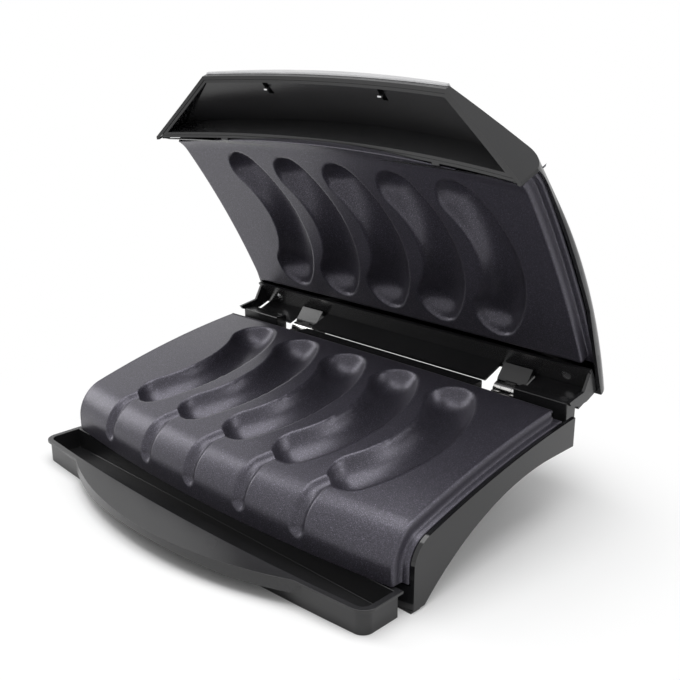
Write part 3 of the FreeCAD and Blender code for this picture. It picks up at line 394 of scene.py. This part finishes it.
def cover_lip(name, start, end):
    """The rear cover's return edge behind a hinge block, from x = start to x = end."""
    count = len(LIP_SECTION)
    points = [(x, y, z) for x in (start, end) for y, z in LIP_SECTION]
    faces = [tuple(range(count)), tuple(range(2 * count - 1, count - 1, -1))]
    faces += [(i, i + count, (i + 1) % count + count, (i + 1) % count) for i in range(count)]
    new_piece(name, points, faces, "lid", SLOTS["lid_rear_cover"], False)


for node, width in (("left_side_panel", 0.8), ("right_side_panel", 0.8), ("drip_tray", 0.6),
                    ("rear_bridge", 0.8), ("left_hinge_cover", 0.8), ("right_hinge_cover", 0.8)):
    soft_edges(node, width)
grill_face("lower", "base")
grill_face("upper", "lid")
cover_lip("left_cover_lip", -LIP_OUTER, -LIP_INNER)
cover_lip("right_cover_lip", LIP_INNER, LIP_OUTER)


# ---------------------------------------------------------------- floor, light and camera, in metres
FLOOR_HALF, FADE_NEAR, FADE_FAR = 6.0, 0.12, 0.34
UNSEEN_LIGHT = 0.45
LAMPS = [("overhead", (1.6, 1.0), 16, (0.0, -0.1, 1.5)), ("left_bank", (0.5, 1.2), 7, (-1.3, -0.4, 0.8)),
         ("right_bank", (0.5, 1.2), 6, (1.4, 0.3, 0.7))]
LAMP_TARGET = Vector((0, 0, 0.1))
CAMERA_PLACE, CAMERA_DOWN, CAMERA_TURN, LENS = (0.43525, -0.41236, 0.29198), 0.312, 0.774, 51.05


def pale_floor():
    """A matte floor that keeps the shadow and turns plain white for the camera away from the object."""
    mat, tree, shader = new_material("pale_floor")
    shader.inputs["Base Color"].default_value = (0.9, 0.9, 0.9, 1)
    shader.inputs["Roughness"].default_value = 0.9
    shader.inputs["Specular IOR Level"].default_value = 0.1
    place = add(tree, "ShaderNodeNewGeometry")
    length = add(tree, "ShaderNodeVectorMath", operation="LENGTH")
    fade = add(tree, "ShaderNodeMapRange", interpolation_type="SMOOTHSTEP", From_Min=FADE_NEAR,
               From_Max=FADE_FAR)
    rays = add(tree, "ShaderNodeLightPath")
    seen = add(tree, "ShaderNodeMath", operation="MULTIPLY")
    glow = add(tree, "ShaderNodeEmission", Strength=1.0)
    mix = add(tree, "ShaderNodeMixShader")
    for source, target in (
            (place.outputs["Position"], length.inputs[0]), (length.outputs["Value"], fade.inputs["Value"]),
            (fade.outputs["Result"], seen.inputs[0]), (rays.outputs["Is Camera Ray"], seen.inputs[1]),
            (seen.outputs["Value"], mix.inputs[0]), (shader.outputs[0], mix.inputs[1]),
            (glow.outputs[0], mix.inputs[2]), (mix.outputs[0], tree.nodes["Material Output"].inputs[0])):
        tree.links.new(source, target)
    return mat


def white_world():
    """White for camera and glossy rays; softer where it only lights the object."""
    world = bpy.data.worlds.new("studio")
    world.use_nodes = True
    tree = world.node_tree
    background = tree.nodes["Background"]
    rays = add(tree, "ShaderNodeLightPath")
    seen = add(tree, "ShaderNodeMath", operation="MAXIMUM")
    tree.links.new(rays.outputs["Is Camera Ray"], seen.inputs[0])
    tree.links.new(rays.outputs["Is Glossy Ray"], seen.inputs[1])
    tree.links.new(spread(tree, seen.outputs["Value"], UNSEEN_LIGHT, 1.0), background.inputs["Strength"])
    background.inputs["Color"].default_value = (1, 1, 1, 1)
    return world


def lamp(name, size, watts, place):
    data = bpy.data.lights.new(name, "AREA")
    data.shape = "RECTANGLE"
    data.size, data.size_y = size
    data.energy = watts
    obj = add_object(name, data)
    obj.location = place
    obj.rotation_euler = (LAMP_TARGET - Vector(place)).to_track_quat("-Z", "Y").to_euler()


floor_mesh = bpy.data.meshes.new("floor")
corners = [(x * FLOOR_HALF, y * FLOOR_HALF, 0) for x, y in ((-1, -1), (1, -1), (1, 1), (-1, 1))]
floor_mesh.from_pydata(corners, [], [(0, 1, 2, 3)])
floor_mesh.materials.append(pale_floor())
add_object("floor", floor_mesh)

scene = bpy.context.scene
scene.world = white_world()
for settings in LAMPS:
    lamp(*settings)

camera_data = bpy.data.cameras.new("camera")
camera_data.sensor_width = 36.0
camera_data.lens = LENS
camera = add_object("camera", camera_data)
camera.location = CAMERA_PLACE
camera.rotation_euler = Euler((math.pi / 2 - CAMERA_DOWN, 0, CAMERA_TURN), "XYZ")
scene.camera = camera
scene.view_settings.view_transform = "Standard"
